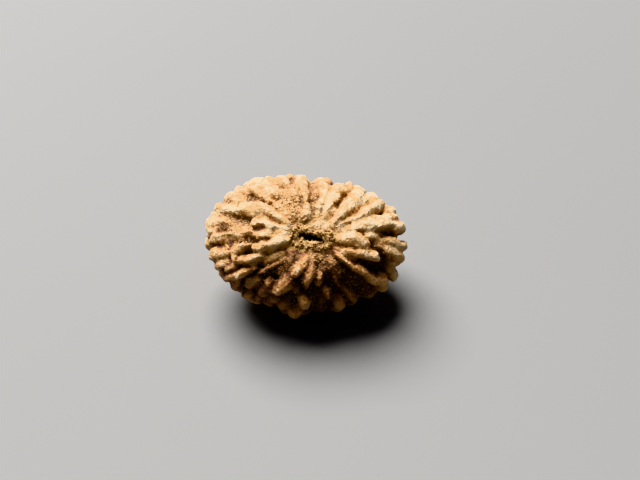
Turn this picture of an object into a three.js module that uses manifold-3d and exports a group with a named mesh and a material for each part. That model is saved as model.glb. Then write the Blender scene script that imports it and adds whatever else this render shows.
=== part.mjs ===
// A rudraksha seed: one woody stone, wider than it is tall, with furrows that run from pole to pole,
// knobbly ridges between them and a natural channel along its axis. It lies on its side with its
// long axis level along x and its open pole turned up towards -Y. Millimetres, +Z up.
//
// Places on the seed are given as on a globe: the polar angle runs from 0 at the open pole to 180 at
// the far pole, and the azimuth turns round the axis from the +x end, both in degrees.

import * as THREE from "three";
import { mergeVertices } from "three/addons/utils/BufferGeometryUtils.js";
import Module from "manifold-3d";

// Driving dimensions, across the crests of the ridges.
const LENGTH = 28;
const BREADTH = 20;
const POLE_TO_POLE = 18.6;
const CREST_TO_CORE = 1.4;
const ROOT_DEPTH = 2;
const FURROW_DEPTH = 0.55;
const FACE_SHOULDER = 0.3;
const POLE_DIP = 1.2;
const POLE_DIP_WIDTH = 15;

// The natural channel: a slit-like mouth at each pole that narrows to a round bore.
const MOUTH_HALF_LENGTH = 1.7;
const MOUTH_HALF_WIDTH = 0.6;
const MOUTH_DEPTH = 5.2;
const MOUTH_THROAT = 0.6;
const MOUTH_SKEW = -12;
const BORE_RADIUS = 0.55;
const BORE_SIDES = 10;
const FAR_MOUTH_SHARE = 0.7;

// How it lies: the open pole leans towards -Y from upright, then turns a little towards +x.
const LEAN = 42;
const TURN = 6;
const FLAT_SPOT_DEPTH = 0.45;

// How the plan strays from an oval: shares of its radius, at even steps of azimuth from the +x end.
// The straying fades out above and below the rim.
const OUTLINE = [1.01, 1.03, 1, 1.01, 1.05, 1.06, 1, 0.95, 0.93, 0.98, 0.98, 1.01];
const RIM_SHARPNESS = 4;

// The furrows between the seed's fourteen faces, as azimuths.
const FURROWS = [9, 29, 61, 88, 105, 130, 153, 184, 213, 241, 273, 309, 328, 344];

// The ridges round the open pole, each as its polar span, then the azimuths and the half-widths in mm
// at even steps along that span, and how far its crest stands above the others.
const OPEN_POLE_RIDGES = [
  // From the +x end round to the back: long ridges that spread from the pole and end in free tips.
  [[22, 46], [7, 6], [0.5, 0.8], -0.15],
  [[16, 84], [18, 18, 18, 16, 13], [0.4, 0.6, 0.8, 0.95, 0.85], 0.3],
  [[13, 78], [24, 24, 26, 24], [0.45, 0.75, 0.85, 0.8], 0.15],
  [[58, 82], [31, 31], [0.55, 0.6], 0.1],
  [[13, 76], [31, 35, 38, 40], [0.4, 0.65, 0.7, 0.85], 0.2],
  [[12, 70], [46, 50, 54, 56], [0.5, 1.0, 1.25, 1.3], 0.25],
  [[42, 76], [45, 47], [0.75, 1.0], 0.2],
  [[12, 70], [70, 70, 69, 69], [0.5, 0.65, 1.15, 1.25], 0.15],
  [[56, 78], [63, 64], [0.5, 0.55], 0.1],
  [[12, 68], [78, 78, 80, 81], [0.45, 0.6, 0.75, 0.75], 0.05],
  [[72, 92], [78, 77], [0.8, 0.8], -0.3],
  [[75, 94], [57, 57], [0.9, 0.95], -0.05],
  [[13, 30], [94, 95], [0.4, 0.5], -0.1],
  [[24, 78], [97, 96, 96], [0.5, 1.0, 1.1], 0.05],
  // Along the back, past the furrow, where the ground is low and granular between smooth tips.
  [[12, 26], [104, 104], [0.5, 0.6], -0.3],
  [[24, 56], [103, 105], [0.6, 0.85], -0.3],
  [[52, 83], [106, 106], [0.8, 0.9], 0],
  [[26, 64], [114, 113], [0.65, 0.85], -0.25],
  [[60, 86], [113, 113], [0.65, 0.7], 0],
  [[15, 38], [122, 123], [0.6, 0.8], -0.4],
  [[38, 92], [118, 120, 121], [0.75, 1.0, 1.1], 0.3],
  [[38, 92], [126, 127], [0.55, 0.75], 0.1],
  [[56, 92], [132, 132], [0.65, 0.75], 0.05],
  // The -x half, where the ridges are broad and run together.
  [[12, 56], [138, 141, 141], [0.5, 1.0, 0.95], 0.2],
  [[45, 92], [140, 139], [0.9, 0.95], 0.05],
  [[30, 93], [149, 150, 150, 149], [0.65, 0.65, 0.75, 0.75], 0.1],
  [[11, 38], [153, 157, 159], [0.6, 1.05, 0.7], 0.1],
  [[52, 89], [162, 162], [0.85, 0.9], -0.25],
  [[56, 89], [155, 155], [0.7, 0.75], -0.3],
  [[10, 32], [167, 170], [0.4, 0.55], 0],
  [[10, 34], [175, 175], [0.5, 0.75], 0],
  [[31, 42], [172, 171], [0.4, 0.35], -0.1],
  [[42, 89], [172, 176, 178], [0.7, 0.95, 0.75], -0.35],
  [[62, 91], [169, 170], [0.7, 0.75], -0.3],
  [[10, 34], [183, 189, 197], [0.5, 0.95, 0.6], 0.2],
  [[54, 88], [192, 190], [0.8, 0.9], 0],
  [[33, 50], [190, 194], [0.45, 0.6], 0.15],
  [[45, 51], [194, 205], [0.55, 0.55], 0.1],
  [[28, 50], [209, 203], [0.5, 0.6], 0.1],
  [[56, 88], [200, 199], [0.65, 0.75], 0],
  [[52, 70], [206, 206], [0.5, 0.55], -0.2],
  // Round the front to the +x end, where they are fingers and knobs with deep gaps between.
  [[38, 86], [216, 213, 211], [0.5, 0.65, 0.75], 0.15],
  [[62, 88], [219, 219], [0.6, 0.65], 0],
  [[20, 44], [227, 223], [0.3, 0.35], -0.25],
  [[14, 38], [238, 238], [0.7, 0.9], -0.45],
  [[44, 68], [227, 227], [0.95, 0.95], -0.35],
  [[41, 49], [235, 236], [0.5, 0.5], 0],
  [[66, 92], [231, 230], [0.7, 0.8], 0.1],
  [[50, 70], [238, 238], [0.7, 0.75], -0.35],
  [[68, 94], [238, 239], [0.6, 0.7], 0.1],
  [[58, 92], [247, 247], [0.75, 0.85], -0.35],
  [[58, 92], [255, 255], [0.75, 0.85], -0.2],
  [[12, 36], [258, 250], [0.5, 0.7], 0.05],
  [[32, 54], [249, 246], [0.85, 1.1], 0.2],
  [[12, 43], [267, 266], [0.55, 0.6], 0.05],
  [[47, 67], [266, 266], [0.7, 0.8], 0.05],
  [[62, 96], [264, 262], [0.95, 1.05], 0.3],
  [[12, 28], [283, 285], [0.6, 1.0], -0.3],
  [[26, 39], [278, 278], [0.6, 0.55], -0.05],
  [[40, 54], [281, 283], [0.65, 0.45], 0],
  [[58, 94], [278, 278], [0.75, 0.9], -0.7],
  [[14, 36], [298, 298], [0.6, 0.8], -0.4],
  [[52, 78], [290, 290], [0.55, 0.75], 0],
  [[28, 84], [290, 297, 302], [0.45, 0.5, 0.65], -0.45],
  [[60, 92], [310, 310], [0.65, 0.8], -0.8],
  [[14, 83], [320, 317, 321, 323, 320], [0.4, 0.55, 0.7, 1.0, 1.0], 0.2],
  [[18, 46], [335, 340, 338], [0.4, 0.8, 0.3], 0.2],
  [[50, 66], [342, 341], [0.5, 0.55], -0.05],
  [[58, 88], [336, 333], [0.75, 0.85], 0.05],
  [[36, 80], [353, 350, 348], [0.75, 0.95, 0.8], 0.15],
  [[34, 86], [0, 359, 359], [0.65, 0.8, 0.7], 0.15],
  [[12, 34], [1, 358, 352], [0.55, 1.1, 0.6], 0.25],
];

// Worn hollows between and in the ridges of the open pole's side: polar angle, azimuth, half-length
// along the ridge and half-width in mm.
const HOLLOWS = [
  [24, 148, 1.0, 0.42],
  [29, 165, 0.9, 0.42],
  [44, 157, 1.6, 0.75],
  [59, 168, 0.9, 0.75],
  [53, 134, 0.85, 0.55],
  [72, 131, 0.5, 0.4],
  [81, 125, 0.5, 0.38],
  [31, 61, 0.7, 0.45],
  [50, 31, 1.1, 0.3],
  [23, 184, 0.8, 0.35],
];
const HOLLOW_DEPTH = 0.9;

// Ground that stands higher between the ridges: polar angle, azimuth, reach in polar angle, reach in
// azimuth and rise in mm. It rises towards both poles too.
const GROUND_RISES = [
  [44, 148, 34, 24, 1.1],
  [60, 133, 26, 8, 1.15],
  [40, 174, 22, 14, 1.0],
  [66, 160, 24, 16, 1.1],
  [56, 187, 30, 12, 0.85],
  [34, 50, 34, 44, 0.95],
  [40, 60, 24, 8, 1.0],
  [44, 108, 34, 24, 0.8],
  [86, 82, 16, 14, 0.4],
  [22, 270, 16, 80, 0.35],
  [60, 20, 22, 25, 0.3],
];
const POLE_RISE = 1.1;
const POLE_RISE_WIDTH = 17;

// The far side follows a rule: rows of knobs run down each face, about one row to each ROW_PITCH.
const ROW_PITCH = 2.75;
const FAR_START = { middle: 84, swing: 11 };
const FAR_END = 169;
const KNOB_SPAN = { least: 24, spread: 26 };
const KNOB_GAP = 1.5;
const KNOB_SHARE_OF_PITCH = { least: 0.42, spread: 0.14 };
const KNOB_LIFT_SPREAD = 0.45;
const KNOB_SWAY = 3;
const KNOB_HEAD = 1.1;
const KNOB_TAIL = { least: 0.75, spread: 0.25 };
const START_SCATTER = 0.3;
const LAST_KNOB_SHARE = 0.5;
const CROWDING_POWER = 0.6;
const SEED_NUMBER = 1971;

// Few sides, so that the whole seed stays light.
const RIDGE_SECTION = [
  [0.75, -1],
  [0.88, 0.5],
  [0, 1],
  [-0.88, 0.5],
  [-0.75, -1],
];
const END_BLUNTNESS = 0.6;
const LEAST_HALF_HEIGHT = 1;
const HEIGHT_TO_WIDTH = 1.3;
const NUDGE = 0.02;
const RING_SPACING = 3;
const LEAST_RINGS = 3;
const CORE_ROWS = 12;
const HOLLOW_SIDES = 7;
const HOLLOW_RINGS = 5;

const UP = new THREE.Vector3(0, 0, 1);
const { degToRad, clamp, lerp } = THREE.MathUtils;

// A repeatable run of random numbers from 0 to 1.
function randomRun(seed) {
  let state = seed;
  return () => {
    state = (state * 1664525 + 1013904223) % 4294967296;
    return state / 4294967296;
  };
}

// The value at a share of the way along a list of evenly spaced values.
function along(values, share) {
  const place = clamp(share, 0, 1) * (values.length - 1);
  const step = Math.min(Math.floor(place), values.length - 2);
  return lerp(values[step], values[step + 1], place - step);
}

// Azimuths that pass through 0, rewritten so that they run on without a jump.
function unwrapped(azimuths) {
  return azimuths.map((azimuth) => {
    const jump = Math.round((azimuths[0] - azimuth) / 360);
    return azimuth + jump * 360;
  });
}

// How far the crests sink towards a pole.
function poleDip(polar) {
  const fromPole = Math.min(polar, 180 - polar);
  return POLE_DIP * Math.exp(-((fromPole / POLE_DIP_WIDTH) ** 2));
}

function outwards(azimuth, polar) {
  const a = degToRad(azimuth);
  const p = degToRad(polar);
  return new THREE.Vector3(
    (Math.sin(p) * Math.cos(a)) / LENGTH,
    (Math.sin(p) * Math.sin(a)) / BREADTH,
    Math.cos(p) / POLE_TO_POLE,
  ).normalize();
}

// How far out the plan reaches at an azimuth, as a share of the oval's radius.
function outline(azimuth) {
  const place = (((azimuth % 360) + 360) % 360) / (360 / OUTLINE.length);
  const step = Math.floor(place);
  const blend = THREE.MathUtils.smoothstep(place - step, 0, 1);
  return lerp(OUTLINE[step], OUTLINE[(step + 1) % OUTLINE.length], blend);
}

// The point at a depth in mm below the crests.
function placeOn(azimuth, polar, depth) {
  const a = degToRad(azimuth);
  const p = degToRad(polar);
  const reach = Math.sin(p) * lerp(1, outline(azimuth), Math.sin(p) ** RIM_SHARPNESS);
  const crest = new THREE.Vector3(
    (LENGTH / 2) * reach * Math.cos(a),
    (BREADTH / 2) * reach * Math.sin(a),
    (POLE_TO_POLE / 2) * Math.cos(p),
  );
  return crest.addScaledVector(outwards(azimuth, polar), -depth - poleDip(polar));
}

// One closed surface from rings of points between two end points. Seen from the start, each ring
// runs anticlockwise.
function closedSurface(start, rings, end) {
  const sides = rings[0].length;
  const points = [start, ...rings.flat(), end];
  const last = points.length - 1;
  const faces = [];
  for (let side = 0; side < sides; side++) {
    const next = (side + 1) % sides;
    faces.push(0, 1 + side, 1 + next);
    for (let ring = 0; ring + 1 < rings.length; ring++) {
      const here = 1 + ring * sides;
      const there = here + sides;
      faces.push(here + side, there + next, here + next);
      faces.push(here + side, there + side, there + next);
    }
    faces.push(last, last - sides + next, last - sides + side);
  }
  const geometry = new THREE.BufferGeometry().setFromPoints(points);
  geometry.setIndex(faces);
  return geometry;
}

// A ridge: a finger with blunt ends that lies along a meridian, its root sunk in the core.
function ridge([span, azimuths, halfWidths, lift]) {
  const bearings = unwrapped(azimuths);
  const centre = (share) => {
    const halfWidth = along(halfWidths, share);
    const halfHeight = Math.max(LEAST_HALF_HEIGHT, halfWidth * HEIGHT_TO_WIDTH);
    const normal = outwards(along(bearings, share), lerp(span[0], span[1], share));
    const point = placeOn(along(bearings, share), lerp(span[0], span[1], share), halfHeight - lift);
    return { halfWidth, halfHeight, normal, point };
  };
  const length = centre(0).point.distanceTo(centre(1).point);
  const ringCount = Math.max(LEAST_RINGS, Math.round(length / RING_SPACING));
  const rings = [];
  for (let ring = 0; ring < ringCount; ring++) {
    const turn = (Math.PI * (ring + 0.5)) / ringCount;
    const share = (1 - Math.cos(turn)) / 2;
    const swell = Math.sin(turn) ** END_BLUNTNESS;
    const { point, normal, halfWidth, halfHeight } = centre(share);
    const ahead = centre(share + NUDGE).point.sub(centre(share - NUDGE).point);
    const across = ahead.normalize().cross(normal).normalize();
    rings.push(
      RIDGE_SECTION.map(([sideways, upwards]) =>
        point
          .clone()
          .addScaledVector(across, sideways * halfWidth * swell)
          .addScaledVector(normal, upwards * swell * (upwards > 0 ? halfHeight : ROOT_DEPTH)),
      ),
    );
  }
  return closedSurface(centre(0).point, rings, centre(1).point);
}

// How far the ground between the ridges stands above the core's own level.
function groundRise(azimuth, polar) {
  const rises = GROUND_RISES.map(([risePolar, riseAzimuth, polarReach, azimuthReach, most]) => {
    const aside = THREE.MathUtils.euclideanModulo(azimuth - riseAzimuth + 180, 360) - 180;
    const far = (aside / azimuthReach) ** 2 + ((polar - risePolar) / polarReach) ** 2;
    return most * Math.exp(-far);
  });
  const fromPole = Math.min(polar, 180 - polar);
  return Math.max(...rises) + POLE_RISE * Math.exp(-((fromPole / POLE_RISE_WIDTH) ** 2));
}

// The core that carries the ridges, creased along each furrow.
function core() {
  const columns = FURROWS.flatMap((furrow, i) => {
    const next = FURROWS[(i + 1) % FURROWS.length] + (i + 1 === FURROWS.length ? 360 : 0);
    return [
      { azimuth: furrow, extra: FURROW_DEPTH },
      { azimuth: lerp(furrow, next, FACE_SHOULDER), extra: 0 },
      { azimuth: lerp(furrow, next, 1 - FACE_SHOULDER), extra: 0 },
    ];
  });
  const rings = [];
  for (let row = 1; row < CORE_ROWS; row++) {
    const polar = (180 * row) / CORE_ROWS;
    const fade = Math.sin(degToRad(polar));
    rings.push(
      columns.map(({ azimuth, extra }) =>
        placeOn(azimuth, polar, CREST_TO_CORE + extra * fade - groundRise(azimuth, polar)),
      ),
    );
  }
  const [start, end] = [0, 180].map((polar) => placeOn(0, polar, CREST_TO_CORE - groundRise(0, polar)));
  return closedSurface(start, rings, end);
}

// The knobs of the far side, placed down each face by the rule above.
function farRidges() {
  const random = randomRun(SEED_NUMBER);
  const ridges = [];
  FURROWS.forEach((furrow, i) => {
    const next = FURROWS[(i + 1) % FURROWS.length] + (i + 1 === FURROWS.length ? 360 : 0);
    const faceWidth = placeOn(furrow, 90, 0).distanceTo(placeOn(next, 90, 0));
    const rows = Math.max(1, Math.round(faceWidth / ROW_PITCH));
    for (let row = 0; row < rows; row++) {
      const azimuth = lerp(furrow, next, (row + 0.5) / rows);
      let polar = FAR_START.middle - FAR_START.swing * Math.sin(degToRad(azimuth));
      polar += random() * KNOB_SPAN.least * START_SCATTER;
      while (polar < FAR_END - KNOB_SPAN.least * LAST_KNOB_SHARE) {
        const end = Math.min(polar + KNOB_SPAN.least + KNOB_SPAN.spread * random(), FAR_END);
        const crowding = Math.sin(degToRad((polar + end) / 2)) ** CROWDING_POWER;
        const share = KNOB_SHARE_OF_PITCH.least + KNOB_SHARE_OF_PITCH.spread * random();
        const halfWidth = (faceWidth / rows) * share * crowding;
        const sway = KNOB_SWAY * (random() - 0.5);
        ridges.push([
          [polar, end],
          [azimuth - sway, azimuth + sway],
          [halfWidth * KNOB_HEAD, halfWidth * (KNOB_TAIL.least + KNOB_TAIL.spread * random())],
          KNOB_LIFT_SPREAD * (random() - 0.5),
        ]);
        polar = end + KNOB_GAP;
      }
    }
  });
  return ridges;
}

// A worn hollow: an egg-shaped pit, its length along the ridge.
function hollow([polar, azimuth, halfLength, halfWidth]) {
  const point = placeOn(azimuth, polar, 0);
  const normal = outwards(azimuth, polar);
  const ahead = placeOn(azimuth, polar + 1, 0).sub(placeOn(azimuth, polar - 1, 0)).normalize();
  const across = normal.clone().cross(ahead).normalize();
  ahead.copy(across).cross(normal);
  const frame = new THREE.Matrix4().makeBasis(ahead, across, normal).setPosition(point);
  return new THREE.SphereGeometry(1, HOLLOW_SIDES, HOLLOW_RINGS)
    .rotateX(Math.PI / 2)
    .scale(halfLength, halfWidth, HOLLOW_DEPTH)
    .applyMatrix4(frame);
}

// The channel through the seed: its slit mouths run straight for a share of their depth, then close
// in on the bore.
function channel() {
  const pole = POLE_TO_POLE / 2;
  const throat = pole - MOUTH_DEPTH * MOUTH_THROAT;
  const floor = pole - MOUTH_DEPTH;
  const ring = (z, halfLength, halfWidth) =>
    Array.from({ length: BORE_SIDES }, (_, side) => {
      const angle = (2 * Math.PI * side) / BORE_SIDES;
      return new THREE.Vector3(halfLength * Math.cos(angle), halfWidth * Math.sin(angle), z);
    });
  const rings = [
    ring(pole, MOUTH_HALF_LENGTH, MOUTH_HALF_WIDTH),
    ring(throat, MOUTH_HALF_LENGTH, MOUTH_HALF_WIDTH),
    ring(floor, BORE_RADIUS, BORE_RADIUS),
    ring(-floor, BORE_RADIUS, BORE_RADIUS),
    ring(-throat, MOUTH_HALF_LENGTH * FAR_MOUTH_SHARE, MOUTH_HALF_WIDTH),
    ring(-pole, MOUTH_HALF_LENGTH * FAR_MOUTH_SHARE, MOUTH_HALF_WIDTH),
  ];
  const ends = [UP.clone().multiplyScalar(pole), UP.clone().multiplyScalar(-pole)];
  return closedSurface(ends[0], rings, ends[1]).rotateZ(degToRad(MOUTH_SKEW));
}

const wasm = await Module();
wasm.setup();

function toSolid(geometry) {
  const bare = geometry.clone();
  bare.deleteAttribute("normal");
  bare.deleteAttribute("uv");
  const merged = mergeVertices(bare);
  return new wasm.Manifold(
    new wasm.Mesh({
      numProp: 3,
      vertProperties: merged.attributes.position.array,
      triVerts: new Uint32Array(merged.index.array),
    }),
  );
}

function toGeometry(solid) {
  const mesh = solid.getMesh();
  const geometry = new THREE.BufferGeometry();
  geometry.setAttribute("position", new THREE.BufferAttribute(mesh.vertProperties, 3));
  geometry.setIndex(new THREE.BufferAttribute(mesh.triVerts, 1));
  return geometry;
}

// The outer skin of a geometry: its largest connected surface, without the tiny sealed pockets that
// ridges leave where they lean together.
function outerSkin(geometry) {
  const corners = geometry.index.array;
  const owner = Uint32Array.from({ length: geometry.attributes.position.count }, (_, i) => i);
  const rootOf = (vertex) => {
    let root = vertex;
    while (owner[root] !== root) {
      root = owner[root];
    }
    owner[vertex] = root;
    return root;
  };
  for (let i = 0; i < corners.length; i += 3) {
    owner[rootOf(corners[i + 1])] = rootOf(corners[i]);
    owner[rootOf(corners[i + 2])] = rootOf(corners[i]);
  }
  const sizes = new Map();
  corners.forEach((corner) => sizes.set(rootOf(corner), (sizes.get(rootOf(corner)) ?? 0) + 1));
  const [largest] = [...sizes.entries()].sort((a, b) => b[1] - a[1])[0];
  const skin = geometry.clone();
  skin.setIndex([...corners].filter((corner) => rootOf(corner) === largest));
  return skin;
}

// The stone: core and ridges in one, less the hollows and the channel, turned as it lies, with the
// lowest knobs worn to a small flat spot.
function stone() {
  const ridges = [...OPEN_POLE_RIDGES, ...farRidges()].map((row) => toSolid(ridge(row)));
  const grown = ridges.reduce((solid, one) => solid.add(one), toSolid(core()));
  const cuts = [channel(), ...HOLLOWS.map(hollow)].map(toSolid);
  const lying = toGeometry(cuts.reduce((solid, cut) => solid.subtract(cut), grown))
    .rotateY(degToRad(TURN))
    .rotateX(degToRad(LEAN));
  lying.computeBoundingBox();
  const flatSpot = new THREE.BoxGeometry(LENGTH, LENGTH, LENGTH).translate(
    0,
    0,
    lying.boundingBox.min.z + FLAT_SPOT_DEPTH - LENGTH / 2,
  );
  return outerSkin(toGeometry(toSolid(lying).subtract(toSolid(flatSpot))));
}

const geometry = stone();
geometry.computeVertexNormals();
geometry.computeBoundingBox();
const { min, max } = geometry.boundingBox;

const seed = new THREE.Mesh(
  geometry,
  new THREE.MeshStandardMaterial({ color: 0xb98a55, roughness: 0.6, metalness: 0 }),
);
seed.name = "seed";
seed.position.set(-(min.x + max.x) / 2, -(min.y + max.y) / 2, -min.z);

const part = new THREE.Group();
part.add(seed);

export default part;
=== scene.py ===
# A rudraksha seed: the woody stone with its ridges and furrows, the dry fibres round the mouth of
# its channel and the crumbs of husk in its grooves.
#
# Places on the seed are given as on a globe: the polar angle runs from 0 at the open pole to 180 at
# the far pole, and the azimuth turns round the axis from the +x end, both in degrees. The tables and
# the stone's own form are in millimetres.

import math
import random

import bpy
import numpy as np
from mathutils import Euler, Matrix, Vector, noise
from mathutils.bvhtree import BVHTree


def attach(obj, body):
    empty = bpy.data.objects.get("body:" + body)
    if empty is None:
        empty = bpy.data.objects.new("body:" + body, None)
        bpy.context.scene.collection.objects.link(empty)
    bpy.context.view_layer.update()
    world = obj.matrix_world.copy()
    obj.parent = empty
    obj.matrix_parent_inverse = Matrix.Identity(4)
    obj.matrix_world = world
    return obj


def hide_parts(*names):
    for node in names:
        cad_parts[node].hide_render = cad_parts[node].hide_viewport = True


bl_info = {
    "name": "Rudraksha seed",
    "version": (1, 0, 0),
    "blender": (4, 5, 0),
    "location": "View3D > Sidebar > Seed",
    "description": "Builds a rudraksha seed with its ridges, dry fibres and husk crumbs",
    "category": "Add Mesh",
}

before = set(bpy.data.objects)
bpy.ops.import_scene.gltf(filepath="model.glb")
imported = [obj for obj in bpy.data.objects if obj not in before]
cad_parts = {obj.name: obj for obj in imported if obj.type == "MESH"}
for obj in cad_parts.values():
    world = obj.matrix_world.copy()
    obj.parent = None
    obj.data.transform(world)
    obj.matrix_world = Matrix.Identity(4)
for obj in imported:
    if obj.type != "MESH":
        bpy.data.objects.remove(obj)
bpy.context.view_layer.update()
MM = 0.001

# The stone's own form, across the crests of the ridges.
LENGTH = 28.0
BREADTH = 20.0
POLE_TO_POLE = 18.6
CREST_TO_CORE = 1.4
ROOT_DEPTH = 2.0
FURROW_DEPTH = 0.55
POLE_DIP = 1.2
POLE_DIP_WIDTH = 15.0
RIM_SHARPNESS = 4
LEAST_HALF_HEIGHT = 1.0
HEIGHT_TO_WIDTH = 1.3
END_BLUNTNESS = 0.6
INNER_BLUNTNESS = 0.75
SECTION_SQUARENESS = 2.05
FULLNESS = 1.1
FACE_SHOULDER = 0.3
OUTLINE = [1.01, 1.03, 1, 1.01, 1.05, 1.06, 1, 0.95, 0.93, 0.98, 0.98, 1.01]
FURROWS = [9, 29, 61, 88, 105, 130, 153, 184, 213, 241, 273, 309, 328, 344]

# How it lies: the open pole leans from upright towards -Y, then turns a little towards +x. The
# centre of the seed's own frame stands here in the row's frame.
LEAN = 42.0
TURN = 6.0
SEED_CENTRE = np.array([0.005, -0.088, 9.098])

# The natural channel.
MOUTH_HALF_LENGTH = 1.7
MOUTH_HALF_WIDTH = 0.6
MOUTH_DEPTH = 5.2
MOUTH_THROAT = 0.6
MOUTH_SKEW = -12.0
BORE_RADIUS = 0.55
FAR_MOUTH_SHARE = 0.7

# How a ridge swells, bends, and rises and falls along its length: each is a size, then the
# millimetres from one wave to the next. The swell is a share of the ridge's width, and the other
# sizes and the lean of its crest are millimetres. The step is a share of its length.
SWELL = (0.06, 3.3)
BEND = (0.12, 5.1)
ROLL = (0.08, 3.9)
STEP_ALONG = 0.02
CREST_LEAN = 0.16

# How far a worn hollow reaches past its own size, squared, how steep its wall is, and how many
# millimetres below the core's skin it still presses.
HOLLOW_REACH = 1.7
HOLLOW_STEEPNESS = 1.5
HOLLOW_FLOOR = 0.6

# The skin's relief. Each warp is a noise's scale per millimetre and its push in millimetres, and
# each lump a scale and a share.
WARPS = [(0.42, 0.22), (1.05, 0.1)]
LUMPS = [(0.62, 1.0), (1.35, 0.55), (2.7, 0.5)]
STREAK_SCALE = (1.5, 0.45)
STREAK_FADE = 1.5
GRIT_RISE = 0.3
GRIT_BLEND = 0.8
GRAIN_SCALE = 2.6
GRAIN_LEVEL = 0.35
PIT_SCALE = 0.95
PIT_WIDTH = 0.3
PIT_STEEPNESS = 1.5
PIT_DRAW = 7.3
PITS_LEFT_OUT = 0.25
ROUGH_GROUND_PITS = 0.6
ROUGH_GROUND_LUMPS = 0.9
MOUTH_GRIT = 0.7
EVEN_GRIT = 0.04
MOUTH_GRIT_WIDTH = 11

# What the finish follows: the metres within which a crease is closed in, the rays that feel it and
# the share of their reach where they start, how far an edge stands out in metres, the depth of the
# lowest ground in mm, and where the mouth's tissue ends, in degrees from the pole.
CREASE_REACH = 0.0026
CREASE_RAYS = 24
RAY_START = 0.015
EDGE_BLUR_ROUNDS = 6
EDGE_RISE = 0.00006
LOWEST_GROUND = 2.2
GREATEST_HEIGHT = 1.3
MOUTH_TISSUE_END = 13
MOUTH_TISSUE_BLEND = 5

# The fibres round the open mouth: how thin their tip is, where their strand bends, the ring they lie
# in, in degrees from the pole, how far off in metres the wood is looked for, how many millimetres
# under the pole they aim, and the spreads of their turn and shape.
FIBRE_TIP = 0.25
FIBRE_JOINTS = (-0.2, 0.15)
FIBRE_RING = (3.4, 7.4)
FIBRE_SEARCH = 0.004
FIBRE_AIM_DEPTH = 0.6
FIBRE_RING_STRETCH = 0.75
FIBRE_ONWARD = (-0.5, 0.9)
FIBRE_ASIDE = (-1.2, 1.2)
FIBRE_LIFT = (-0.05, 0.4)
FIBRE_LENGTHS = (0.4, 1.0)
FIBRE_WIDTHS = (0.6, 1.4)
FIBRE_CURLS = (-0.35, 0.35)
FIBRE_ARCHES = (-0.15, 0.3)
FIBRE_FLATNESS = 0.7
FIBRE_HOLD = 0.3

# The crumbs: how much more often they lie in grit and at the mouth, and their spreads of size.
CRUMBS_EVERYWHERE = 0.35
CRUMBS_IN_GRIT = 2.2
CRUMBS_AT_MOUTH = 3.0
CRUMBS_ON_GRIT = 0.2
CRUMB_CLEAR_HEIGHT = 0.001
CRUMB_SIZES = (0.45, 1.3)
CRUMB_GROWTH_AT_MOUTH = 1.5
CRUMB_DENTS = (-0.28, 0.28)
CRUMB_BREADTHS = (0.6, 1.0)
CRUMB_HEIGHTS = (0.4, 0.8)
CRUMB_SINK = 0.35

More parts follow.
